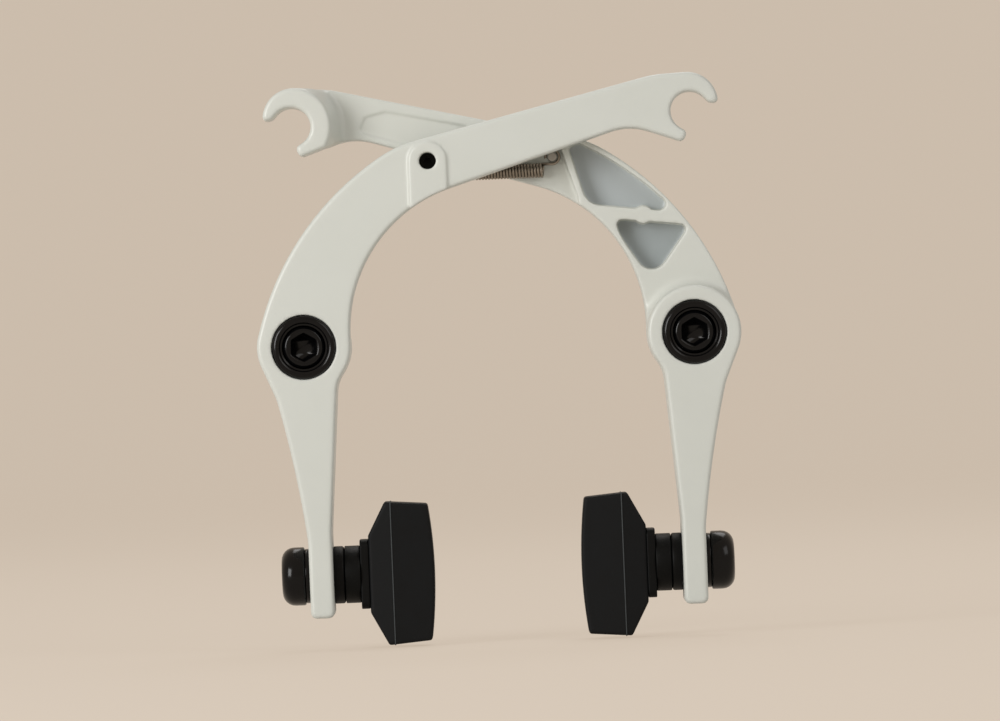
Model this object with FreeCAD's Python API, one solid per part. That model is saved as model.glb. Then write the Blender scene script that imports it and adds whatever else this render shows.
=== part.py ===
import FreeCAD, Part
import math
import os

# U-brake for a bicycle: two crossed arms that turn on two frame studs and squeeze a rim.
# Millimetres. X runs across the wheel, +Y points into the frame, Z is up.
# The origin is midway between the studs, on the plane of their shoulders.
V = FreeCAD.Vector

# Frame studs and what turns on them
stud_spacing = 80.0
stud_r = 4.0
stud_clear = 0.1
bolt_r = 2.9
bolt_past_seat = 3.0
sleeve_wall = 1.4
running_clear = 0.05
axial_play = 0.1
rear_washer_t = 1.0
rear_washer_r = 8.6
fit_gap = 0.1

# How far a cutting tool reaches past a face, and how near two places count as one
overcut = 1.0
same_spot = 0.001
hex_sides = 6

# Pivot boss, its cap and the bolt head in the cap
boss_r = 9.6
boss_depth = 18.0
cap_r = 6.5
cap_seat = 2.6
cap_proud = 0.6
cap_rim = 1.0
cap_slope = 0.9
pivot_head_r = 4.3
pivot_head_t = 1.8
neck_r = 3.25
neck_past_cap = 0.6
hex_flats = 5.0
hex_deep = 2.2

# Arch, seen from the front, measured from the pivot towards the centre and up
arch_reach = 40.0
arch_rise = 2.3
arch_back = (2.3, 25.3)
arch_back_top = (20.9, 40.5)
arch_back_foot = 160.0
arch_back_round = 25.0

# Bar that crosses to the other side, and the hook at its end
bar_slope = 17.0
bar_low_length = 39.0
bar_hump_round = 12.0
hook_reach = 80.9
hook_rise = 45.2
hook_r = 4.0
hook_mouth_low = 240.0
hook_mouth_high = 43.0
hook_lip = 1.5
hook_low_tip = (-1.6, -6.3)
hook_low_round = 0.9
hook_nose_at = (-0.6, 1.6)
hook_nose_r = 6.4
hook_nose_low = -2.0
hook_nose_high = 92.6
hook_tip_round = 0.7
hook_crown = (-7.5, 7.7)
hook_crown_round = 20.0

# Leg below the pivot
boss_in_angle = -47.0
boss_in_round = 7.0
boss_out_angle = 205.0
leg_out_top = (-6.0, -10.5)
leg_out_bend = (-2.7, -26.0)
leg_out_round = 15.0
leg_in = 4.2
leg_out = -0.7
leg_in_flat = -38.0
leg_out_flat = -40.0
leg_flat_round = 20.0
leg_tip = -55.6
leg_tip_round = 1.2
leg_taper_top = -12.0
leg_taper = 3.4

# Layers from front to back
front_t = 7.2
spring_room = 3.4
raised_step = 0.3
hook_block = -7.0
hook_proud = 7.5
hook_back = 3.4
hook_ring_r = 8.0
hook_wall = 2.2
boss_foot_round = 2.0
edge_round = 0.8
soft_round = 0.6

# Anchor pad on the left arm, and the spring's anchor screw in it
anchor_at = (26.8, 37.1)
anchor_r = 3.9
anchor_proud = 0.6
anchor_hole_r = 1.75
anchor_screw_t = 3.5
anchor_hex = 1.5
screw_clear = 0.03

# Pockets and step in the right arm
step_low = (22.6, 28.6)
step_high = (26.2, 40.2)
pocket_deep = 4.0
pocket_round = 0.9
rib_bump_r = 1.5
rib_bump_at = (8.9, 24.4)
upper_pocket = (
    (23.1, 36.6),
    [[(21.0, 38.0)], [(12.0, 32.0), (5.2, 25.4)], [(18.4, 26.9)], [(20.2, 28.0)], [(23.1, 36.6)]],
)
bar_web_deep = 0.9
bar_web_round = 1.2
bar_web = (
    (67.4, 43.7),
    [[(65.9, 46.9)], [(61.5, 47.9)], [(44.5, 44.2)], [(44.5, 36.8)], [(67.4, 43.7)]],
)
lower_pocket = ((14.6, 23.3), [[(0.6, 21.6)], [(7.2, 12.4)], [(10.4, 13.0)], [(14.6, 23.3)]])

# Return spring and its pins
spring_pin_at = (27.6, 37.1)
spring_pin_r = 0.9
spring_pin_seat = 3.0
spring_pin_gap = 0.2
pin_past_wire = 0.5
spring_r = 1.55
spring_wire_r = 0.32
spring_turns = 34
spring_loop_bend = 280.0

# Pad and its bolt
pad_bolt_z = -47.0
slot_travel = 9.0
slot_clear = 0.3
pad_bolt_head_r = 6.0
pad_bolt_head_t = 4.8
pad_bolt_dome = 2.6
pad_bolt_hex_deep = 3.0
pad_washer_t = 1.0
pad_washer_r = 5.6
swivel_r = 5.9
swivel_t = 5.5
swivel_sphere_r = 11.0
swivel_edge = 1.6
swivel_clear = 0.1
backing_t = 1.8
backing_long = 14.2
backing_wide = 10.4
hub_r = 4.4
hub_t = 5.0
backing_round = 1.5
pad_long = 29.4
pad_face_long = 28.0
pad_back_long = 15.8
pad_wide = 12.0
pad_face_wide = 11.0
pad_back_wide = 10.8
pad_t = 12.4
pad_taper_t = 3.6
pad_ridge_t = 4.8
pad_bulge = 1.0
pad_round = 0.6

half = stud_spacing / 2
arch_r = arch_reach - boss_r
sleeve_bore_r = stud_r + stud_clear
sleeve_r = sleeve_bore_r + sleeve_wall
arm_back_y = -rear_washer_t - axial_play
front_y = arm_back_y - boss_depth
cap_back_y = front_y + cap_seat - axial_play
cap_front_y = front_y - cap_proud
plate_back_y = front_y + front_t
rear_front_y = plate_back_y + spring_room
raised_y = plate_back_y + raised_step
spring_y = (plate_back_y + rear_front_y) / 2
pin_reach = spring_room / 2 + spring_wire_r + pin_past_wire
pad_y = (front_y + arm_back_y) / 2


def at(side, point, y=0.0):
    """Place a point measured from one pivot towards the centre; side -1 is left, 1 is right."""
    return V(side * (half - point[0]), y, point[1])


def polar(centre, radius, degrees):
    angle = math.radians(degrees)
    return (centre[0] + radius * math.cos(angle), centre[1] + radius * math.sin(angle))


def shifted(centre, offset):
    return (centre[0] + offset[0], centre[1] + offset[1])


def outline(side, start, steps, y):
    """Join lines (one point) and arcs (a point on the way and an end) into a closed wire."""
    edges = []
    here = start
    for step in steps:
        end = step[-1]
        if len(step) == 1:
            edges.append(Part.makeLine(at(side, here, y), at(side, end, y)))
        else:
            edges.append(Part.Arc(at(side, here, y), at(side, step[0], y), at(side, end, y)).toShape())
        here = end
    return Part.Wire(edges)


def prism(wire, depth):
    return Part.Face(wire).extrude(V(0, depth, 0))


def turned(profile, origin, axis):
    """Turn a profile of (radius, distance along axis) points about the axis through origin."""
    across = V(0, 0, 1)
    points = [origin + across * r + axis * d for r, d in profile]
    face = Part.Face(Part.makePolygon(points + points[:1]))
    return face.revolve(origin, axis, 360)


def rod(radius, origin, axis, length):
    return Part.makeCylinder(radius, length, origin, axis)


def ring(outer, inner, origin, axis, length):
    return rod(outer, origin, axis, length).cut(rod(inner, origin, axis, length))


def hex_socket(flats, origin, axis, deep):
    """Six-sided key hole that starts at origin and goes along axis."""
    corner_r = flats / math.sqrt(3)
    first = axis.cross(V(0, 0, 1)).normalize()
    second = axis.cross(first).normalize()
    points = []
    for corner in range(hex_sides + 1):
        across, up = polar((0, 0), corner_r, 360 / hex_sides * corner)
        points.append(origin + first * across + second * up)
    return Part.Face(Part.makePolygon(points)).extrude(axis * deep)


def lies_at(edge, y):
    return abs(edge.BoundBox.YMin - y) < same_spot and abs(edge.BoundBox.YMax - y) < same_spot


def edges_at(shape, y):
    return [e for e in shape.Edges if lies_at(e, y)]


def softened(shape, y, radius):
    return shape.makeFillet(radius, edges_at(shape, y))


# Points of the arm's outline that several wires share
pivot = (0, 0)
hook = (hook_reach, hook_rise)
arch = (arch_reach, arch_rise)
nose = shifted(hook, hook_nose_at)
boss_in = polar(pivot, boss_r, boss_in_angle)
boss_out = polar(pivot, boss_r, boss_out_angle)
arch_back_low = polar(pivot, boss_r, arch_back_foot)
bar_start = polar(arch, arch_r, 90 + bar_slope)
bar_hump = polar(bar_start, bar_low_length, bar_slope)
mouth_low = polar(hook, hook_r, hook_mouth_low)
mouth_high = polar(hook, hook_r, hook_mouth_high)
low_tip_in = polar(mouth_low, hook_lip, hook_mouth_low + 90)
low_tip = shifted(hook, hook_low_tip)
high_tip_in = polar(mouth_high, hook_lip, hook_mouth_high - 90)
high_tip = polar(nose, hook_nose_r, hook_nose_low)
nose_top = polar(nose, hook_nose_r, hook_nose_high)
crown = shifted(hook, hook_crown)

# Corners that are rounded in the front view, each with its radius
leg_corners = [
    (boss_in, boss_in_round),
    ((leg_in, leg_tip), leg_tip_round),
    ((leg_out, leg_tip), leg_tip_round),
    ((leg_out, leg_out_flat), leg_flat_round),
    (leg_out_top, leg_out_round),
]
arch_corners = [
    (bar_hump, bar_hump_round),
    (low_tip, hook_low_round),
    (low_tip_in, hook_low_round),
    (high_tip_in, hook_tip_round),
    (high_tip, hook_tip_round),
    (crown, hook_crown_round),
    (arch_back_top, arch_back_round),
]


def rounded(shape, side, corners):
    """Round the edges that run front to back at the given corners."""
    for point, radius in corners:
        foot = at(side, point)
        near = [e for e in shape.Edges if stands_at(e, foot)]
        shape = shape.makeFillet(radius, near)
    return shape


def stands_at(edge, foot):
    box = edge.BoundBox
    upright = box.XLength < same_spot and box.ZLength < same_spot
    return upright and abs(box.XMin - foot.x) < same_spot and abs(box.ZMin - foot.z) < same_spot


def leg_steps():
    """From the outer side of the boss, down round the tip and up to its inner side."""
    return [
        [leg_out_top],
        [leg_out_bend, (leg_out, leg_out_flat)],
        [(leg_out, leg_tip)],
        [(leg_in, leg_tip)],
        [(leg_in, leg_in_flat)],
        [boss_in],
    ]


def hook_steps():
    """From the bar's lower edge, round the hook and its mouth, to the bar's upper edge."""
    return [
        [low_tip],
        [low_tip_in],
        [mouth_low],
        [polar(hook, hook_r, 180), mouth_high],
        [high_tip_in],
        [high_tip],
        [polar(nose, hook_nose_r, (hook_nose_low + hook_nose_high) / 2), nose_top],
        [crown],
    ]


def arm_solid(side, y, depth):
    """The whole arm as seen from the front, as a plate."""
    steps = [
        [polar(pivot, boss_r, boss_in_angle / 2), (boss_r, 0)],
        [(boss_r, arch_rise)],
        [polar(arch, arch_r, (180 + 90 + bar_slope) / 2), bar_start],
        [bar_hump],
    ]
    steps += hook_steps()
    steps += [
        [arch_back_top],
        [arch_back, arch_back_low],
        [polar(pivot, boss_r, 180), boss_out],
    ]
    wire = outline(side, boss_in, steps + leg_steps(), y)
    return rounded(prism(wire, depth), side, leg_corners + arch_corners)


def boss_leg_solid(side, y, depth):
    """The pivot boss and the leg under it."""
    over = [[polar(pivot, boss_r, 90), boss_out]]
    wire = outline(side, boss_in, over + leg_steps(), y)
    return rounded(prism(wire, depth), side, leg_corners)


def bored(arm, side):
    """Cut the pivot bore, the seat of the cap, the pad slot and the leg's taper."""
    centre = at(side, pivot)
    into = V(0, 1, 0)
    start = centre + into * (front_y - overcut)
    arm = arm.cut(rod(sleeve_r + running_clear, start, into, boss_depth + 2 * overcut))
    arm = arm.cut(rod(cap_r + fit_gap, start, into, cap_seat + overcut))
    arm = arm.cut(slot_tool(side))
    return arm.cut(taper_tool(side))


def slot_tool(side):
    """Upright slot through the leg that lets the pad move up and down."""
    radius = bolt_r + slot_clear
    across = V(-side, 0, 0)
    outside = at(side, (leg_out - overcut, pad_bolt_z), pad_y)
    long = leg_in - leg_out + 2 * overcut
    low = rod(radius, outside - V(0, 0, slot_travel / 2), across, long)
    high = rod(radius, outside + V(0, 0, slot_travel / 2), across, long)
    corner = V(min(outside.x, outside.x - side * long), pad_y - radius, pad_bolt_z - slot_travel / 2)
    return low.fuse([high, Part.makeBox(long, 2 * radius, slot_travel, corner)])


def taper_tool(side):
    """Wedge behind the leg: the leg gets thinner towards its tip."""
    reach = 2 * boss_r
    x = side * half - reach
    points = [
        V(x, arm_back_y, leg_taper_top),
        V(x, arm_back_y - leg_taper, leg_tip),
        V(x, arm_back_y + overcut, leg_tip),
        V(x, arm_back_y + overcut, leg_taper_top),
    ]
    return Part.Face(Part.makePolygon(points + points[:1])).extrude(V(2 * reach, 0, 0))


def left_arm():
    """Front arm: its arch and bar lie in the front layer."""
    side = -1
    arm = arm_solid(side, front_y, front_t)
    arm = arm.fuse(boss_leg_solid(side, front_y, boss_depth)).removeSplitter()
    arm = softened(arm, front_y, edge_round)
    arm = arm.fuse(anchor_pad(side)).removeSplitter()
    hole = at(side, anchor_at, front_y - overcut)
    arm = arm.cut(rod(anchor_hole_r, hole, V(0, 1, 0), front_t + 2 * overcut))
    return bored(arm, side)


def anchor_pad(side):
    """Raised pad with a round top, standing on the arch's inner edge."""
    top = at(side, anchor_at, front_y - anchor_proud)
    depth = anchor_proud + edge_round
    high = anchor_at[1]
    pad = rod(anchor_r, top, V(0, 1, 0), depth)
    corner = V(top.x - anchor_r, top.y, 0)
    pad = pad.fuse(Part.makeBox(2 * anchor_r, depth, high, corner)).removeSplitter()
    return pad.common(arm_solid(side, top.y, depth))


def right_arm():
    """Rear arm: its bar passes behind the other, and its hook comes forward again."""
    side = 1
    back_t = arm_back_y - rear_front_y
    arm = arm_solid(side, rear_front_y, back_t)
    arm = arm.fuse(boss_leg_solid(side, front_y, boss_depth))
    arm = arm.fuse([raised_arch(side), raised_hook(side)]).removeSplitter()
    arm = softened(arm, front_y, edge_round)
    arm = arm.fuse(flare(side, pivot, raised_y, boss_r, boss_foot_round))
    arm = arm.cut(prism(hook_area(side, hook_block, arm_back_y - hook_back), hook_back))
    arm = arm.cut(pocket(side, bar_web, rear_front_y, bar_web_deep, bar_web_round))
    for shape in (upper_pocket, lower_pocket):
        arm = arm.cut(pocket(side, shape, raised_y, pocket_deep, pocket_round))
    bump = rod(rib_bump_r, at(side, rib_bump_at, raised_y), V(0, 1, 0), pocket_deep)
    arm = arm.fuse(bump).removeSplitter()
    seat = rod(spring_pin_r, at(side, spring_pin_at, rear_front_y), V(0, 1, 0), spring_pin_seat)
    arm = arm.cut(seat)
    return bored(arm, side)


def raised_arch(side):
    """The arch between the boss and the step where the front arm crosses."""
    depth = rear_front_y - raised_y
    body = arm_solid(side, raised_y, depth)
    return body.common(prism(raised_area(side, raised_y), depth))


def raised_area(side, y):
    """The part of the front view that lies on the boss's side of the step."""
    far = (-2 * boss_r, step_high[1] + boss_r)
    corner = (-2 * boss_r, -boss_r)
    low = (step_low[0], -boss_r)
    high = (step_high[0], step_high[1] + boss_r)
    return outline(side, low, [[step_low], [step_high], [high], [far], [corner], [low]], y)


def flare(side, centre, y, radius, size):
    """Hollow fillet round an upright wall of the given radius, where it meets the face at y."""
    axis = at(side, centre, y)
    out = V(-side, 0, 0)
    up = V(0, -1, 0)
    wall = axis + out * radius
    bend = wall + (out + up) * (size * (1 - math.sqrt(0.5)))
    sunk = V(0, overcut, 0)
    edges = [
        Part.Arc(wall + up * size, bend, wall + out * size).toShape(),
        Part.makeLine(wall + out * size, wall + out * size + sunk),
        Part.makeLine(wall + out * size + sunk, axis + sunk),
        Part.makeLine(axis + sunk, axis + up * size),
        Part.makeLine(axis + up * size, wall + up * size),
    ]
    cone = Part.Face(Part.Wire(edges)).revolve(axis, V(0, 1, 0), 360)
    return cone.common(arm_solid(side, y - size, size + overcut))


def hook_area(side, inner, y):
    """The part of the front view that holds the hook, from a distance inside its seat."""
    left = shifted(hook, (inner, -2 * boss_r))
    right = shifted(hook, (2 * boss_r, -2 * boss_r))
    high = shifted(hook, (2 * boss_r, 2 * boss_r))
    top = shifted(hook, (inner, 2 * boss_r))
    return outline(side, left, [[right], [high], [top], [left]], y)


def raised_hook(side):
    """Ring round the cable seat, with a sloping wall, that brings the seat forward."""
    y = rear_front_y - hook_proud
    body = softened(arm_solid(side, y, hook_proud), y, edge_round)
    foot_r = hook_ring_r + hook_wall
    cone = Part.makeCone(hook_ring_r, foot_r, hook_proud, at(side, hook, y), V(0, 1, 0))
    cone = softened(cone, y, edge_round)
    return body.common(cone.fuse(prism(hook_area(side, 0, y), hook_proud)))


def pocket(side, shape, y, deep, corner_round):
    """Hollow with round corners, from its outline in the front view."""
    start, steps = shape
    tool = prism(outline(side, start, steps, y), deep)
    return rounded(tool, side, [(step[-1], corner_round) for step in steps])


def pivot_bolt(side):
    """Stud bolt: a round head with a key hole, a plain neck, and a thread that stands out of the back."""
    into = V(0, 1, 0)
    head_y = cap_front_y + cap_slope
    head = rod(pivot_head_r, at(side, pivot, head_y), into, pivot_head_t)
    head = softened(head, head_y, soft_round)
    neck = rod(neck_r, at(side, pivot, head_y), into, cap_back_y + neck_past_cap - head_y)
    thread = rod(bolt_r, at(side, pivot, head_y), into, bolt_past_seat - head_y)
    bolt = head.fuse([neck, thread]).removeSplitter()
    return bolt.cut(hex_socket(hex_flats, at(side, pivot, head_y), into, hex_deep))


def pivot_cap(side):
    """Dished cap that the bolt clamps on the sleeve, and that keeps the arm on."""
    head_y = cap_front_y + cap_slope
    deep = cap_back_y - cap_front_y
    pocket_r = pivot_head_r + fit_gap
    floor = head_y + pivot_head_t - cap_front_y
    hole_r = neck_r + fit_gap
    profile = [
        (hole_r, deep),
        (hole_r, floor),
        (pocket_r, floor),
        (pocket_r, cap_slope),
        (cap_r - cap_rim, 0),
        (cap_r, cap_rim / 2),
        (cap_r, deep),
    ]
    return turned(profile, at(side, pivot, cap_front_y), V(0, 1, 0))


def pivot_sleeve(side):
    """Sleeve that slips over the frame stud; the arm turns on its outside."""
    return ring(sleeve_r, sleeve_bore_r, at(side, pivot, cap_back_y), V(0, 1, 0), -cap_back_y)


def rear_washer(side):
    """Slippery washer between the arm and the frame."""
    inner = sleeve_r + fit_gap
    return ring(rear_washer_r, inner, at(side, pivot, -rear_washer_t), V(0, 1, 0), rear_washer_t)


def anchor_screw():
    """Set screw in the left arm's anchor pad, with a nose behind it for the spring's loop."""
    side = -1
    back = at(side, anchor_at, plate_back_y)
    screw = rod(anchor_hole_r - screw_clear, back, V(0, -1, 0), anchor_screw_t)
    screw = screw.fuse(rod(spring_pin_r, back, V(0, 1, 0), pin_reach))
    key = at(side, anchor_at, plate_back_y - anchor_screw_t)
    return screw.cut(hex_socket(anchor_hex, key, V(0, 1, 0), anchor_hex))


def spring_pin():
    """Pin in the right arm that the spring's other loop hooks over."""
    foot = at(1, spring_pin_at, rear_front_y + spring_pin_seat)
    return rod(spring_pin_r, foot, V(0, -1, 0), spring_pin_seat + pin_reach)


def spring():
    """Close-wound pull spring: turns side by side, with a loop round a pin at each end."""
    loop_r = spring_pin_r + spring_wire_r + spring_pin_gap
    mean_r = spring_r - spring_wire_r
    left = at(-1, anchor_at, spring_y)
    right = at(1, spring_pin_at, spring_y)
    pitch = 2 * spring_wire_r
    span = spring_turns * pitch
    middle = (left + right) * 0.5 - V(0, 0, loop_r + mean_r)
    made = coil(middle - V(span / 2, 0, 0), pitch, mean_r)
    for pin, sign in ((left, -1), (right, 1)):
        start = V(middle.x + sign * (span / 2 - pitch), spring_y, pin.z - loop_r)
        made = made.fuse(spring_loop(start, pin, sign, loop_r))
    return made


def spring_loop(start, pin, sign, loop_r):
    """Wire that leaves the last turn and bends most of the way round a pin."""
    bend = []
    for degrees in (-90, -90 + spring_loop_bend / 2, -90 + spring_loop_bend):
        across, up = polar((0, 0), loop_r, degrees)
        bend.append(pin + V(sign * across, 0, up))
    path = Part.Wire([Part.makeLine(start, bend[0]), Part.Arc(*bend).toShape()])
    section = Part.Wire(Part.makeCircle(spring_wire_r, start, V(sign, 0, 0)))
    return path.makePipeShell([section], True, True)


def coil(start, pitch, mean_r):
    """The turns, lying against each other, round an open core."""
    along = V(1, 0, 0)
    out = V(0, 0, 1)
    span = spring_turns * pitch
    base = start + out * mean_r
    edges = []
    for turn in range(spring_turns):
        first = base + along * (turn * pitch)
        last = base + along * ((turn + 1) * pitch)
        crest = (first + last) * 0.5 + out * spring_wire_r
        edges.append(Part.Arc(first, crest, last).toShape())
    core = start + out * (mean_r - spring_wire_r)
    edges.append(Part.makeLine(base + along * span, core + along * span))
    edges.append(Part.makeLine(core + along * span, core))
    edges.append(Part.makeLine(core, base))
    return Part.Face(Part.Wire(edges)).revolve(start, along, 360)


def pad_axis(side, inward):
    """A point on the pad bolt's axis, a distance inward of the pivot."""
    return at(side, (inward, pad_bolt_z), pad_y)


def pad_bolt(side):
    """Domed bolt from outside, through the slot, into the pad's hub."""
    inward = V(-side, 0, 0)
    seat = leg_out - pad_washer_t
    top = pad_axis(side, seat - pad_bolt_head_t)
    head = rod(pad_bolt_head_r, top, inward, pad_bolt_head_t)
    rim = [e for e in head.Edges if e.CenterOfMass.distanceToPoint(top) < same_spot]
    head = head.makeFillet(pad_bolt_dome, rim)
    tip = leg_in + swivel_t + backing_t + hub_t / 2
    shank = rod(bolt_r, pad_axis(side, seat), inward, tip - seat)
    bolt = head.fuse(shank).removeSplitter()
    return bolt.cut(hex_socket(hex_flats, top, inward, pad_bolt_hex_deep))


def pad_washer(side):
    """Flat washer under the bolt's head."""
    face = pad_axis(side, leg_out - pad_washer_t)
    return ring(pad_washer_r, bolt_r + fit_gap, face, V(-side, 0, 0), pad_washer_t)


def ball_washer(side):
    """Washer with a flat face on the leg and a round face towards the pad."""
    inward = V(-side, 0, 0)
    face = pad_axis(side, leg_in)
    crown = swivel_t - swivel_edge - swivel_clear
    ball = Part.makeSphere(swivel_sphere_r, face + inward * (crown - swivel_sphere_r))
    body = ring(swivel_r, bolt_r + fit_gap, face, inward, crown)
    return body.common(ball)


def cup_washer(side):
    """Washer with a hollow that fits the ball washer, and a flat face on the pad's backing."""
    inward = V(-side, 0, 0)
    face = pad_axis(side, leg_in)
    crown = swivel_t - swivel_edge - swivel_clear
    ball = Part.makeSphere(swivel_sphere_r + swivel_clear, face + inward * (crown - swivel_sphere_r))
    body = ring(swivel_r, bolt_r + fit_gap, face, inward, swivel_t)
    rim = swivel_sphere_r - math.sqrt(swivel_sphere_r ** 2 - swivel_r ** 2)
    start = crown - rim + swivel_clear
    body = body.common(rod(swivel_r, face + inward * start, inward, swivel_t - start))
    return body.cut(ball)


def pad_backing(side):
    """Plate on the pad's back with a threaded hub that sits in the rubber."""
    back = leg_in + swivel_t
    inward = V(-side, 0, 0)
    face = pad_axis(side, back)
    x = min(face.x, face.x - side * backing_t)
    corner = V(x, pad_y - backing_wide / 2, pad_bolt_z - backing_long / 2)
    plate = Part.makeBox(backing_t, backing_wide, backing_long, corner)
    corners = [e for e in plate.Edges if e.BoundBox.XLength > same_spot]
    plate = plate.makeFillet(backing_round, corners)
    hub = rod(hub_r, face, inward, backing_t + hub_t)
    plate = plate.fuse(hub).removeSplitter()
    return plate.cut(rod(bolt_r + fit_gap, face, inward, backing_t + hub_t))


def pad(side):
    """Rubber block: narrow back, sloping shoulders, a ridge down its sides and a bulging face."""
    back = leg_in + swivel_t + backing_t
    face = back + pad_t
    shoulder = back + pad_taper_t
    start = (back, pad_bolt_z - pad_back_long / 2)
    steps = [
        [(shoulder, pad_bolt_z - pad_long / 2)],
        [(face, pad_bolt_z - pad_face_long / 2)],
        [(face + pad_bulge, pad_bolt_z), (face, pad_bolt_z + pad_face_long / 2)],
        [(shoulder, pad_bolt_z + pad_long / 2)],
        [(back, pad_bolt_z + pad_back_long / 2)],
        [start],
    ]
    block = prism(outline(side, start, steps, pad_y - pad_wide / 2), pad_wide)
    block = block.common(pad_sides(side, back))
    block = block.makeFillet(pad_round, [e for e in block.Edges if not_ridge(e)])
    return block.cut(rod(hub_r, pad_axis(side, back), V(-side, 0, 0), hub_t))


def pad_sides(side, back):
    """The pad seen from above: widest at the ridge, and narrower towards its back and face."""
    low = pad_bolt_z - pad_long / 2
    stations = [
        (back, pad_back_wide),
        (back + pad_ridge_t, pad_wide),
        (back + pad_t + pad_bulge, pad_face_wide),
    ]
    near = [at(side, (inward, low), pad_y - wide / 2) for inward, wide in stations]
    far = [at(side, (inward, low), pad_y + wide / 2) for inward, wide in reversed(stations)]
    points = near + far
    return Part.Face(Part.makePolygon(points + points[:1])).extrude(V(0, 0, pad_long))


def not_ridge(edge):
    """The ridge is left crisp: it is the only edge that runs at the pad's full width."""
    out = abs(edge.BoundBox.Center.y - pad_y) > pad_wide / 2 - same_spot
    return not out


shapes = {"left_arm": left_arm(), "right_arm": right_arm()}
shapes["anchor_screw"] = anchor_screw()
shapes["spring_pin"] = spring_pin()
shapes["return_spring"] = spring()
makers = {
    "pivot_bolt": pivot_bolt,
    "pivot_cap": pivot_cap,
    "pivot_sleeve": pivot_sleeve,
    "rear_washer": rear_washer,
    "pad_bolt": pad_bolt,
    "pad_washer": pad_washer,
    "ball_washer": ball_washer,
    "cup_washer": cup_washer,
    "pad_backing": pad_backing,
    "pad": pad,
}
for prefix, side in (("left", -1), ("right", 1)):
    for name, make in makers.items():
        shapes[prefix + "_" + name] = make(side)

os.makedirs("parts", exist_ok=True)
for name, shape in shapes.items():
    shape.exportStep("parts/" + name + ".step")
    print(name, len(shape.Solids), shape.isValid(), round(shape.Volume, 2))
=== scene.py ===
import bmesh
import bpy
import math
from mathutils import Matrix, Vector


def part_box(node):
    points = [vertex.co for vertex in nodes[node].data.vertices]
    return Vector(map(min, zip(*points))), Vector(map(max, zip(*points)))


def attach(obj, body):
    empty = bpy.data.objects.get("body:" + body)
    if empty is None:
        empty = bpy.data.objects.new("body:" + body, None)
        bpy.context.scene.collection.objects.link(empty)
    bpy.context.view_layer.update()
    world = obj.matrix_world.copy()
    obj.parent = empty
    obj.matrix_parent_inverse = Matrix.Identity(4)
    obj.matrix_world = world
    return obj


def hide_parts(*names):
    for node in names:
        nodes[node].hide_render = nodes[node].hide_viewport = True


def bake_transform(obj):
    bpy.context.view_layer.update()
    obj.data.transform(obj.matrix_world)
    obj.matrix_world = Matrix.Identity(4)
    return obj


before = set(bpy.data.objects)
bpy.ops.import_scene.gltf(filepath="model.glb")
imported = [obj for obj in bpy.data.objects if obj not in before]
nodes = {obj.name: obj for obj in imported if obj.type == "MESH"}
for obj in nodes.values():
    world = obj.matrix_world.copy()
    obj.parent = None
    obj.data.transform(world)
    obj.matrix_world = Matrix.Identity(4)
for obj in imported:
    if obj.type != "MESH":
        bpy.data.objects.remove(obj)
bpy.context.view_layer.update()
mm = 0.001
quarterTurn = math.pi / 2
sides = {"left": -1, "right": 1}
calipers = {"left": "left_caliper", "right": "right_caliper"}
print("frame loaded,", len(nodes), "nodes")


def toLinear(hexText):
    parts = [int(hexText[i:i + 2], 16) / 255 for i in (1, 3, 5)]
    return [c / 12.92 if c <= 0.04045 else ((c + 0.055) / 1.055) ** 2.4 for c in parts] + [1.0]


def perMetre(sizeMm):
    return 1 / (sizeMm * mm)


def setSockets(node, sockets):
    for key, value in sockets.items():
        node.inputs[key].default_value = value


def addLinks(finish, node, links):
    for key, source in links.items():
        finish.node_tree.links.new(source, node.inputs[key])


def addNode(finish, kind, sockets=None, links=None, **settings):
    node = finish.node_tree.nodes.new(kind)
    for key, value in settings.items():
        setattr(node, key, value)
    setSockets(node, sockets or {})
    addLinks(finish, node, links or {})
    return node


def startFinish(name, sockets):
    finish = bpy.data.materials.new(name)
    finish.use_nodes = True
    shader = finish.node_tree.nodes["Principled BSDF"]
    setSockets(shader, sockets)
    return finish, shader


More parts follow.
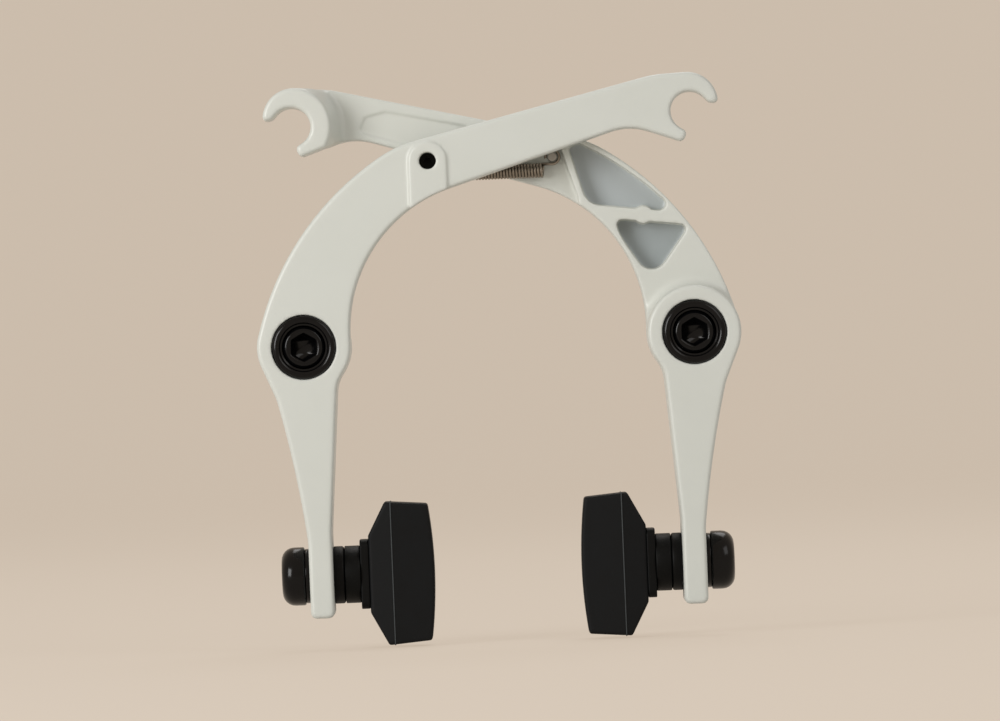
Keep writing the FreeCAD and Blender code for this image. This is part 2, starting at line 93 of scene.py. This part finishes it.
# Each finish is a cloud of two tones with a fine grain as bump
grainBase = {"cloudDetail": 4, "grainDetail": 3, "grainStrength": 0.5, "sockets": {}}
finishLooks = {
    # black electroplate on steel: deep black with crisp highlights and slight handling haze
    "black_plated_steel": {
        "slot": "black_steel", "low": "#040405", "high": "#080809",
        "smooth": 0.12, "rough": 0.22, "cloudMm": 5, "grainMm": 0.6, "grainDeepMm": 0.003,
        "sockets": {"Specular IOR Level": 0.2, "Coat Weight": 0.04, "Coat Roughness": 0.05},
    },
    # black oxide on turned steel: dull black with soft, wide highlights
    "black_oxide_steel": {
        "slot": "black_steel", "low": "#040505", "high": "#070808",
        "smooth": 0.42, "rough": 0.55, "cloudMm": 4, "grainMm": 0.4, "grainDeepMm": 0.01,
        "sockets": {"Specular IOR Level": 0.12},
    },
    # drawn spring wire: warm grey metal with fine drawing marks
    "drawn_spring_wire": {
        "slot": "spring_steel", "low": "#857d73", "high": "#a0988d",
        "smooth": 0.38, "rough": 0.5, "cloudMm": 2, "grainMm": 0.3, "grainDeepMm": 0.003,
        "sockets": {"Metallic": 1.0},
    },
    # bright turned steel of pin and sleeves, on CAD nodes only
    "turned_steel": {
        "low": "#8c8b87", "high": "#a9a8a4",
        "smooth": 0.25, "rough": 0.42, "cloudMm": 3, "grainMm": 0.3, "grainDeepMm": 0.004,
        "sockets": {"Metallic": 1.0},
    },
    # moulded black nylon: soft sheen, faint flow marks, on CAD nodes only
    "moulded_nylon": {
        "low": "#1a1b1c", "high": "#232425",
        "smooth": 0.45, "rough": 0.6, "cloudMm": 6, "grainMm": 0.5, "grainDeepMm": 0.01,
    },
    # moulded rubber: blue-black, matt, with a fine mould grain
    "moulded_rubber": {
        "slot": "pad_rubber", "low": "#08090a", "high": "#0e1012",
        "smooth": 0.5, "rough": 0.68, "cloudMm": 4, "grainMm": 0.5, "grainDeepMm": 0.03,
        "sockets": {"Specular IOR Level": 0.16},
    },
    # thin rubber squeezed out between the mould's halves, coloured greyer than the block so that the
    # ridge shows as a pale line
    "flash_rubber": {
        "slot": "pad_rubber", "low": "#343738", "high": "#46494a",
        "smooth": 0.6, "rough": 0.8, "cloudMm": 2, "grainMm": 0.4, "grainDeepMm": 0.02,
        "sockets": {"Specular IOR Level": 0.3},
    },
    # satin powder coat on cast aluminium: an even off-white with a faint peel, and painted shade
    # on the pockets' floors, which face forward at one depth: blue-grey, darker in the lower pocket
    "satin_powder_coat": {
        "slot": "white_paint", "low": "#d7d8d0", "high": "#d0d1c8",
        "smooth": 0.34, "rough": 0.44, "cloudMm": 16, "grainMm": 0.9, "grainDeepMm": 0.012,
        "cloudDetail": 3, "grainDetail": 2, "grainStrength": 0.25,
        "sockets": {"IOR": 1.5, "Coat Weight": 0.12, "Coat Roughness": 0.2},
        # painted shade: blue-grey tones for the right arm's pocket floors, the darker one in the lower
        # pocket
        "paintedPocketShade": {"low": "#9da4a5", "high": "#b1b7b8", "facing": (-0.6, -0.9),
                    "deepMm": (-8.3, -7.8), "besideMm": (12, 13), "upperMm": (23.5, 25.5)},
    },
}
# socket numbers of a colour mix
mixFactor, mixFrom, mixTo, mixResult = 0, 6, 7, 2


# Painted shade on the right arm's pocket floors: faces that point forward at the floors' depth, beside
# the rib, are mixed towards blue-grey, and darker below the given height
def paintPocketShade(finish, where, colour, look):
    place = addNode(finish, "ShaderNodeSeparateXYZ", links={0: where.outputs["Object"]})
    normal = addNode(finish, "ShaderNodeSeparateXYZ", links={0: where.outputs["Normal"]})
    rows = [
        ("deepMm", place.outputs["Y"], mm), ("besideMm", place.outputs["X"], mm),
        ("upperMm", place.outputs["Z"], mm), ("facing", normal.outputs["Y"], 1),
    ]
    ramps = {}
    for key, source, unit in rows:
        none, full = look[key]
        ramp = addNode(finish, "ShaderNodeMapRange",
                       {"From Min": none * unit, "From Max": full * unit}, {"Value": source})
        ramps[key] = ramp.outputs[0]
    onFloor = addNode(finish, "ShaderNodeMath", operation="MULTIPLY",
                      links={0: ramps["deepMm"], 1: ramps["facing"]})
    decimateOrPaintedShade = addNode(finish, "ShaderNodeMath", operation="MULTIPLY",
                   links={0: onFloor.outputs[0], 1: ramps["besideMm"]})
    pocketShadeTone = addNode(finish, "ShaderNodeMix",
                     {mixFrom: toLinear(look["low"]), mixTo: toLinear(look["high"])},
                     {mixFactor: ramps["upperMm"]}, data_type="RGBA")
    coat = addNode(finish, "ShaderNodeMix", data_type="RGBA", links={
        mixFactor: decimateOrPaintedShade.outputs[0], mixFrom: colour, mixTo: pocketShadeTone.outputs[mixResult]})
    return coat.outputs[mixResult]


def makeFinish(name, look):
    finish, shader = startFinish(name, look["sockets"])
    where = addNode(finish, "ShaderNodeTexCoord")
    spot = {"Vector": where.outputs["Object"]}
    cloud = addNode(finish, "ShaderNodeTexNoise",
                    {"Scale": perMetre(look["cloudMm"]), "Detail": look["cloudDetail"]}, spot)
    tone = addNode(finish, "ShaderNodeMix",
                   {mixFrom: toLinear(look["low"]), mixTo: toLinear(look["high"])},
                   {mixFactor: cloud.outputs["Fac"]}, data_type="RGBA")
    gloss = addNode(finish, "ShaderNodeMapRange",
                    {"To Min": look["smooth"], "To Max": look["rough"]},
                    {"Value": cloud.outputs["Fac"]})
    grain = addNode(finish, "ShaderNodeTexNoise",
                    {"Scale": perMetre(look["grainMm"]), "Detail": look["grainDetail"]}, spot)
    bump = addNode(finish, "ShaderNodeBump",
                   {"Strength": look["grainStrength"], "Distance": look["grainDeepMm"] * mm},
                   {"Height": grain.outputs["Fac"]})
    colour = tone.outputs[mixResult]
    # painted shade on the right arm's pocket floors
    if "paintedPocketShade" in look:
        colour = paintPocketShade(finish, where, colour, look["paintedPocketShade"])
    addLinks(finish, shader, {
        "Base Color": colour, "Roughness": gloss.outputs[0], "Normal": bump.outputs[0]})
    return finish


finishes = {name: makeFinish(name, {**grainBase, **look}) for name, look in finishLooks.items()}
print("finishes made:", len(finishes))


def placeObject(name, data):
    made = bpy.data.objects.new(name, data)
    bpy.context.scene.collection.objects.link(made)
    return made


def addPiece(name, mesh, finish, body, *stoodFor):
    piece = placeObject(name, mesh)
    mesh.materials.clear()
    mesh.materials.append(finishes[finish])
    mesh.shade_smooth()
    if body:
        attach(piece, body)
    if stoodFor:
        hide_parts(*stoodFor)
    return piece


def vertsOf(geom):
    return [g for g in geom if isinstance(g, bmesh.types.BMVert)]


def edgesOf(verts):
    return list(dict.fromkeys(e for v in verts for e in v.link_edges))


def drawPath(work, points, closed):
    verts = [work.verts.new(point) for point in points]
    ends = verts[1:] + verts[:1] if closed else verts[1:]
    for one, two in zip(verts, ends):
        work.edges.new((one, two))
    return verts


def roundPoint(work, point, radius, steps):
    bmesh.ops.bevel(work, geom=[point], offset=radius, offset_type="OFFSET", segments=steps,
                    profile=0.5, material=-1, affect="VERTICES", clamp_overlap=False)


def keepMesh(work, name, place=Matrix()):
    bmesh.ops.recalc_face_normals(work, faces=work.faces)
    bmesh.ops.transform(work, matrix=place, verts=work.verts)
    mesh = bpy.data.meshes.new(name)
    work.to_mesh(mesh)
    work.free()
    return mesh


# Outlines in the XZ plane, of X, Z and corner rounding in mm, drawn at one depth and pulled back
# to another
outlineSteps = 4


def pulledMesh(name, outlines, frontMm, backMm, place=Matrix()):
    work = bmesh.new()
    for outline in outlines:
        path = [Vector((x, frontMm, z)) * mm for x, z, soft in outline]
        for point, (x, z, soft) in zip(drawPath(work, path, True), outline):
            if soft:
                roundPoint(work, point, soft * mm, outlineSteps)
    bmesh.ops.edgeloop_fill(work, edges=work.edges[:])
    pulled = bmesh.ops.extrude_face_region(work, geom=work.faces[:])["geom"]
    bmesh.ops.translate(work, verts=vertsOf(pulled), vec=(0, (backMm - frontMm) * mm, 0))
    return keepMesh(work, name, place)


# The right arm's pockets are filled and cut again with the casting's rounder corners and a pip on
# the rib, and the hollow along its bar is made shallower
pocketLook = {
    "faceMm": -11.6, "floorMm": -7.6, "rootMm": -7.0, "webMm": -8.05,
    "fillSunkMm": 0.01, "pipSunkMm": 0.05, "cutProudMm": 1,
    "pipMm": (30.6, 24.5), "pipRMm": 1.85,
    "fill": [(16.3, 36.9, 0), (18.9, 38.9, 0), (24.3, 35.8, 0), (28.6, 32.6, 0), (32.4, 29.0, 0),
             (35.8, 25.2, 0), (40.1, 22.0, 0), (40.1, 21.2, 0), (33.2, 11.8, 0), (29.2, 12.3, 0),
             (24.8, 23.4, 0), (20.9, 26.3, 0), (19.2, 27.7, 0)],
    "upper": [(19.2, 27.1, 2.2), (15.7, 38.9, 0.6), (17.9, 39.8, 0.6), (22.9, 37.1, 2.0),
              (27.5, 33.9, 2.0), (31.6, 30.7, 2.0), (35.8, 26.7, 1.0), (34.5, 25.1, 0.8)],
    "lower": [(24.5, 23.9, 2.0), (40.2, 22.1, 2.2), (33.7, 13.2, 1.6), (30.3, 13.2, 1.6),
              (25.9, 20.0, 1.6)],
    "web": [(-27.6, 43.6, 0), (-26.0, 47.1, 0), (-21.5, 48.1, 0), (-4.3, 44.4, 0), (-4.3, 36.6, 0)],
}


def pocketSteps(look):
    x, z = look["pipMm"]
    r = look["pipRMm"]
    pip = [(x - r, z - r, r), (x + r, z - r, r), (x + r, z + r, r), (x - r, z + r, r)]
    face, root = look["faceMm"], look["rootMm"]
    cuts = [look["upper"], look["lower"]]
    return [
        ("UNION", pulledMesh("pocketFill", [look["fill"]], face + look["fillSunkMm"], root)),
        ("DIFFERENCE", pulledMesh("pocketCut", cuts, face - look["cutProudMm"], look["floorMm"])),
        ("UNION", pulledMesh("pocketPip", [pip], face + look["pipSunkMm"], root)),
        ("UNION", pulledMesh("webFill", [look["web"]], look["webMm"], root)),
    ]


# The right arm's hook ring runs into its bar with a cast fillet: the ring radii and depths in mm
# between which its foot is eased
footLook = {"atMm": (-40.9, 45.2), "ringMm": (6.8, 11.0), "depthMm": (-11.8, -7.4), "passes": 40}
easeFactor = 0.5


def easeFoot(mesh, look):
    midX, midZ = look["atMm"]
    near, far = look["ringMm"]
    front, back = look["depthMm"]
    work = bmesh.new()
    work.from_mesh(mesh)
    foot = []
    for vert in work.verts:
        x, y, z = vert.co / mm
        if near < math.hypot(x - midX, z - midZ) < far and front < y < back and x > midX:
            foot.append(vert)
    for turn in range(look["passes"]):
        bmesh.ops.smooth_vert(work, verts=foot, factor=easeFactor,
                              use_axis_x=True, use_axis_y=True, use_axis_z=True)
    work.to_mesh(mesh)
    work.free()


# Castings and mouldings: the CAD form with every edge softened, as paint and moulds leave it
armLook = {"voxelMm": 0.28, "passes": 8, "share": 0.42, "finish": "satin_powder_coat"}
softPieces = {
    "left_arm": armLook,
    "right_arm": {**armLook, "steps": pocketSteps(pocketLook), "foot": footLook},
    "pad": {"voxelMm": 0.2, "passes": 4, "share": 0.5, "finish": "moulded_rubber"},
    "pad_backing": {"voxelMm": 0.16, "passes": 4, "share": 0.5, "finish": "black_oxide_steel"},
}
cadWeldMm = 0.002


def softMesh(nodeName, look):
    mesh = nodes[nodeName].data.copy()
    work = bmesh.new()
    work.from_mesh(mesh)
    bmesh.ops.remove_doubles(work, verts=work.verts, dist=cadWeldMm * mm)
    work.to_mesh(mesh)
    work.free()
    blank = placeObject(nodeName + "_blank", mesh)
    tools = []
    for operation, toolMesh in look.get("steps", []):
        tools.append(placeObject(nodeName + "_tool", toolMesh))
        cut = blank.modifiers.new("pocket", "BOOLEAN")
        cut.operation = operation
        cut.solver = "EXACT"
        cut.object = tools[-1]
    cast = blank.modifiers.new("cast", "REMESH")
    cast.mode = "VOXEL"
    cast.voxel_size = look["voxelMm"] * mm
    ease = blank.modifiers.new("ease", "SMOOTH")
    ease.factor = easeFactor
    ease.iterations = look["passes"]
    decimateOrPaintedShade = blank.modifiers.new("decimateOrPaintedShade", "DECIMATE")
    decimateOrPaintedShade.ratio = look["share"]
    bpy.context.view_layer.update()
    graph = bpy.context.evaluated_depsgraph_get()
    made = bpy.data.meshes.new_from_object(blank.evaluated_get(graph))
    for done in tools + [blank]:
        bpy.data.objects.remove(done)
    if "foot" in look:
        easeFoot(made, look["foot"])
    return made


for side in sides:
    for kind in ("arm", "pad", "pad_backing"):
        nodeName = side + "_" + kind
        look = softPieces.get(nodeName) or softPieces[kind]
        mesh = softMesh(nodeName, look)
        addPiece(nodeName + "_soft", mesh, look["finish"], calipers[side], nodeName)
        print(nodeName, "softened,", len(mesh.polygons), "faces")

# Mould line: a thin lip of rubber all round the pad at its widest
flashLook = {
    "fromBackMm": 4.8, "midYMm": -10.1, "midZMm": -47.0, "wideMm": 12.0, "longMm": 29.2,
    "lipMm": 0.12, "thickMm": 0.24, "cornerMm": 0.6,
}


def flashMesh(side, sign, look):
    low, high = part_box(side + "_pad")
    backX = max(abs(low[0]), abs(high[0])) / mm
    x = look["wideMm"] / 2 + look["lipMm"]
    z = look["longMm"] / 2 + look["lipMm"]
    soft = look["cornerMm"]
    ring = [(-x, -z, soft), (x, -z, soft), (x, z, soft), (-x, z, soft)]
    middle = Vector((sign * (backX - look["fromBackMm"]), look["midYMm"], look["midZMm"])) * mm
    place = Matrix.Translation(middle) @ Matrix.Rotation(quarterTurn, 4, "Z")
    halfThick = look["thickMm"] / 2
    return pulledMesh(side + "Flash", [ring], -halfThick, halfThick, place)


for side, sign in sides.items():
    mesh = flashMesh(side, sign, flashLook)
    addPiece(side + "_pad_flash", mesh, "flash_rubber", calipers[side])
print("mould lines added")

# Turned pieces: a profile of radius, depth and corner rounding in mm, spun about its axis. A
# profile without a key hole closes on itself as a ring.
turnLook = {"steps": 72, "weldMm": 0.001, "fineSteps": 3, "wideSteps": 6, "wideFromMm": 1}
hexHole = {"flatsMm": 5.0, "leadMm": 0.25, "sides": 6}


def axisPlace(origin, axis):
    return Matrix.Translation(origin) @ Vector(axis).to_track_quat("Z", "Y").to_matrix().to_4x4()


def cutHex(work, deepMm):
    mouth = [e for e in work.edges if e.is_boundary]
    topZ = mouth[0].verts[0].co.z
    cornerR = hexHole["flatsMm"] / math.sqrt(3) * mm
    place = Matrix.Translation((0, 0, topZ + hexHole["leadMm"] * mm))
    made = bmesh.ops.create_circle(work, segments=hexHole["sides"], radius=cornerR, matrix=place)
    cuts = turnLook["steps"] // hexHole["sides"] - 1
    bmesh.ops.subdivide_edges(work, edges=edgesOf(made["verts"]), cuts=cuts)
    rim = [e for e in work.edges if e.is_wire]
    bmesh.ops.bridge_loops(work, edges=mouth + rim)
    walls = bmesh.ops.extrude_edge_only(work, edges=rim)["geom"]
    down = (deepMm - hexHole["leadMm"]) * mm
    bmesh.ops.translate(work, verts=vertsOf(walls), vec=(0, 0, down))
    bmesh.ops.holes_fill(work, edges=[e for e in work.edges if e.is_boundary], sides=0)


def turnedMesh(name, profile, place, hexDeepMm):
    work = bmesh.new()
    path = [Vector((r, 0, d)) * mm for r, d, soft in profile]
    for point, (r, d, soft) in zip(drawPath(work, path, not hexDeepMm), profile):
        if soft:
            wide = soft > turnLook["wideFromMm"]
            roundPoint(work, point, soft * mm, turnLook["wideSteps" if wide else "fineSteps"])
    bmesh.ops.spin(work, geom=work.verts[:] + work.edges[:], cent=(0, 0, 0), axis=(0, 0, 1),
                   dvec=(0, 0, 0), angle=math.tau, steps=turnLook["steps"], use_merge=True)
    bmesh.ops.remove_doubles(work, verts=work.verts, dist=turnLook["weldMm"] * mm)
    if hexDeepMm:
        cutHex(work, hexDeepMm)
    return keepMesh(work, name, place)


pivotLook = {
    "halfMm": 40.0, "capFrontMm": -19.7, "headDownMm": 0.9, "hexDeepMm": 2.2,
    "cap": [(3.35, 3.1, 0), (3.35, 2.7, 0), (4.4, 2.7, 0), (4.4, 1.0, 0.15), (4.85, 0.75, 0.1),
            (5.05, 0.35, 0.1), (5.5, 0.0, 0.3), (6.1, 0.1, 0.3), (6.5, 0.6, 0.3), (6.5, 3.1, 0)],
    "bolt": [(3.15, 0.0, 0), (3.7, 0.0, 0.2), (4.3, 0.55, 0.25), (4.3, 1.8, 0), (3.25, 1.8, 0),
             (3.25, 2.7, 0.1), (2.9, 2.8, 0), (2.9, 21.4, 0.1), (2.5, 21.8, 0.1), (0, 21.8, 0)],
}
padBoltLook = {
    "zMm": -47.0, "yMm": -10.1, "seatMm": 40.7, "legInMm": 35.8, "headMm": 4.8, "washerMm": 1.0,
    "hexDeepMm": 3.0,
    "bolt": [(3.2, 0.0, 0), (6.0, 0.0, 2.6), (6.0, 4.8, 0.35), (2.9, 4.8, 0), (2.9, 20.4, 0.1),
             (2.5, 20.5, 0), (0, 20.5, 0)],
    "washer": [(3.0, 0.0, 0), (5.6, 0.0, 0.25), (5.6, 1.0, 0.25), (3.0, 1.0, 0)],
    "ball": [(3.0, 0.0, 0), (5.9, 0.0, 0.3), (5.9, 2.05, 0.3), (3.0, 3.3, 0)],
    "cup": [(3.0, 3.6, 0), (5.9, 2.22, 0.3), (5.9, 5.5, 0.3), (3.0, 5.5, 0)],
}


def turnedRows(sign, pivot, pad):
    backward = (0, 1, 0)
    inward = (-sign, 0, 0)
    capAt = Vector((sign * pivot["halfMm"], pivot["capFrontMm"], 0)) * mm
    pivotHeadAt = capAt + Vector((0, pivot["headDownMm"], 0)) * mm
    line = Vector((0, pad["yMm"], pad["zMm"])) * mm
    across = Vector((sign, 0, 0)) * mm
    washerAt = line + across * (pad["seatMm"] + pad["washerMm"])
    padHeadAt = washerAt + across * pad["headMm"]
    legAt = line + across * pad["legInMm"]
    return [
        ("pivot_cap", pivot["cap"], capAt, backward, "black_plated_steel", 0),
        ("pivot_bolt", pivot["bolt"], pivotHeadAt, backward, "black_plated_steel", pivot["hexDeepMm"]),
        ("pad_bolt", pad["bolt"], padHeadAt, inward, "black_plated_steel", pad["hexDeepMm"]),
        ("pad_washer", pad["washer"], washerAt, inward, "black_plated_steel", 0),
        ("ball_washer", pad["ball"], legAt, inward, "black_oxide_steel", 0),
        ("cup_washer", pad["cup"], legAt, inward, "black_oxide_steel", 0),
    ]


for side, sign in sides.items():
    for kind, profile, origin, axis, finish, hexDeepMm in turnedRows(sign, pivotLook, padBoltLook):
        nodeName = side + "_" + kind
        body = "stud_hardware" if kind.startswith("pivot") else calipers[side]
        mesh = turnedMesh(nodeName, profile, axisPlace(origin, axis), hexDeepMm)
        addPiece(nodeName + "_turned", mesh, finish, body, nodeName)
print("turned pieces made")

# Return spring: real turns of wire, in two halves that meet in the middle. Each end loop leaves
# the last turn and goes round its pin.
springLook = {
    "turns": 34, "pitchMm": 0.64, "meanRMm": 1.23, "wireRMm": 0.315, "yMm": -10.2, "axisZMm": 34.45,
    "middleXMm": -0.4, "pinXMm": {"left": -13.2, "right": 12.4}, "pinZMm": 37.1, "loopRMm": 1.42,
    "loopBendDeg": 280, "loopSteps": 40, "loopInTurns": 0.5, "stepsPerTurn": 24, "wireSides": 10,
}


def wireRing(work, centre, axis, look):
    place = Matrix.Translation(centre) @ Matrix.Rotation(quarterTurn, 4, axis)
    ring = bmesh.ops.create_circle(work, segments=look["wireSides"], radius=look["wireRMm"] * mm,
                                   matrix=place)["verts"]
    return ring, edgesOf(ring)


def springHalf(side, sign, look):
    turns = look["turns"] // 2
    middle = Vector((look["middleXMm"], look["yMm"], look["axisZMm"])) * mm
    work = bmesh.new()
    ring, edges = wireRing(work, middle + Vector((0, 0, look["meanRMm"])) * mm, "X", look)
    step = Vector((sign * look["pitchMm"] * mm / look["stepsPerTurn"], 0, 0))
    bmesh.ops.spin(work, geom=ring + edges, cent=middle, axis=(sign, 0, 0), dvec=step,
                   angle=turns * math.tau, steps=turns * look["stepsPerTurn"])
    pin = Vector((look["pinXMm"][side], look["yMm"], look["pinZMm"])) * mm
    endX = middle.x + sign * (turns - look["loopInTurns"]) * look["pitchMm"] * mm
    loopAt = Vector((endX, pin.y, pin.z - look["loopRMm"] * mm))
    ring, edges = wireRing(work, loopAt, "Y", look)
    tip = vertsOf(bmesh.ops.extrude_edge_only(work, edges=edges)["geom"])
    bmesh.ops.translate(work, verts=tip, vec=(pin.x - endX, 0, 0))
    tipEdges = [e for e in work.edges if e.verts[0] in tip and e.verts[1] in tip]
    bmesh.ops.spin(work, geom=tip + tipEdges, cent=pin, axis=(0, -sign, 0), dvec=(0, 0, 0),
                   angle=math.radians(look["loopBendDeg"]), steps=look["loopSteps"])
    bmesh.ops.holes_fill(work, edges=[e for e in work.edges if e.is_boundary], sides=0)
    return keepMesh(work, "spring" + side), endX, middle


for side, sign in sides.items():
    mesh, endX, middle = springHalf(side, sign, springLook)
    name = "return_spring_" + side + "_half"
    half = addPiece(name, mesh, "drawn_spring_wire", None, "return_spring")
    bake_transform(half)
print("spring wound")

# CAD nodes that keep their own shape
keptNodes = {
    "anchor_screw": "black_oxide_steel", "spring_pin": "turned_steel",
    "left_pivot_sleeve": "turned_steel", "right_pivot_sleeve": "turned_steel",
    "left_rear_washer": "moulded_nylon", "right_rear_washer": "moulded_nylon",
}
for nodeName, finish in keptNodes.items():
    kept = nodes[nodeName].data.materials
    kept.clear()
    kept.append(finishes[finish])
print("kept nodes finished:", len(keptNodes))

# Floor, light and camera. The camera and mirror-like surfaces see the paper partly as an even
# tone, so that it stays pale far from the lamps, and past its edge they see the tone it has there.
stageLook = {
    "floor": "#dccbb8", "bounce": "#d6d1ca", "paperRough": 0.9, "evenShare": 0.75, "toneLevel": 1.0,
    "floorZMm": -62.2, "reachM": 2.4, "wallRoundM": 0.6, "wallSteps": 16,
    "sky": "#f6f6f5", "skyLevel": 0.38, "haze": "#ccbdac",
    "lights": [
        {"at": (-0.62, -0.62, 0.2), "sizeM": 0.4, "watts": 4.7},
        {"at": (0.6, -0.6, 0.5), "sizeM": 0.5, "watts": 1.6},
        {"at": (0.1, 0.5, 0.8), "sizeM": 0.5, "watts": 2.0},
    ],
}
cameraLook = {
    "lensMm": 280, "awayM": 1.60, "aimMm": (0.0, -9.0, -4.3), "rollDeg": 2.3, "clipStartM": 0.01,
}


def seenRays(finish):
    rays = addNode(finish, "ShaderNodeLightPath")
    direct = addNode(finish, "ShaderNodeMath", operation="ADD", use_clamp=True, links={
        0: rays.outputs["Is Camera Ray"], 1: rays.outputs["Is Glossy Ray"]})
    through = addNode(finish, "ShaderNodeMath", operation="ADD", use_clamp=True, links={
        0: direct.outputs[0], 1: rays.outputs["Is Transmission Ray"]})
    return through.outputs[0]


# backdrop paper: flat and dull
def makePaper(look):
    paper, shader = startFinish("matt_paper", {
        "Base Color": toLinear(look["bounce"]), "Roughness": look["paperRough"]})
    tone = addNode(paper, "ShaderNodeEmission",
                   {"Color": toLinear(look["floor"]), "Strength": look["toneLevel"]})
    share = addNode(paper, "ShaderNodeMath", {1: look["evenShare"]}, {0: seenRays(paper)},
                    operation="MULTIPLY")
    seen = addNode(paper, "ShaderNodeMixShader", links={
        0: share.outputs[0], 1: shader.outputs[0], 2: tone.outputs[0]})
    addLinks(paper, paper.node_tree.nodes["Material Output"], {"Surface": seen.outputs[0]})
    return paper


def makeSky(look):
    sky = bpy.data.worlds.new("soft_sky")
    sky.use_nodes = True
    glow = sky.node_tree.nodes["Background"]
    setSockets(glow, {"Color": toLinear(look["sky"]), "Strength": look["skyLevel"]})
    haze = addNode(sky, "ShaderNodeBackground",
                   {"Color": toLinear(look["haze"]), "Strength": look["toneLevel"]})
    seen = addNode(sky, "ShaderNodeMixShader", links={
        0: seenRays(sky), 1: glow.outputs[0], 2: haze.outputs[0]})
    addLinks(sky, sky.node_tree.nodes["World Output"], {"Surface": seen.outputs[0]})
    return sky


def makeStage(look):
    reach = look["reachM"]
    low = look["floorZMm"] * mm
    work = bmesh.new()
    path = [(-reach, -reach, low), (-reach, reach, low), (-reach, reach, low + reach)]
    front, foot, top = drawPath(work, path, False)
    roundPoint(work, foot, look["wallRoundM"], look["wallSteps"])
    run = bmesh.ops.extrude_edge_only(work, edges=work.edges[:])["geom"]
    bmesh.ops.translate(work, verts=vertsOf(run), vec=(2 * reach, 0, 0))
    mesh = keepMesh(work, "sweep")
    mesh.shade_smooth()
    mesh.materials.append(makePaper(look))
    floor = placeObject("floor_sweep", mesh)
    bpy.context.scene.world = makeSky(look)
    for spec in look["lights"]:
        lamp = bpy.data.lights.new("softbox", "AREA")
        lamp.shape = "SQUARE"
        lamp.size = spec["sizeM"]
        lamp.energy = spec["watts"]
        box = placeObject("softbox", lamp)
        box.location = spec["at"]
        box.rotation_euler = (-Vector(spec["at"])).to_track_quat("-Z", "Y").to_euler()


def makeCamera(look):
    lens = bpy.data.cameras.new("view")
    lens.lens = look["lensMm"]
    lens.clip_start = look["clipStartM"]
    camera = placeObject("view", lens)
    camera.location = Vector(look["aimMm"]) * mm + Vector((0, -look["awayM"], 0))
    roll = Matrix.Rotation(-math.radians(look["rollDeg"]), 4, "Z")
    camera.rotation_euler = (Matrix.Rotation(quarterTurn, 4, "X") @ roll).to_euler()
    return camera


makeStage(stageLook)
bpy.context.scene.camera = makeCamera(cameraLook)
bpy.context.scene.view_settings.view_transform = "Standard"
print("stage, lights and camera set")
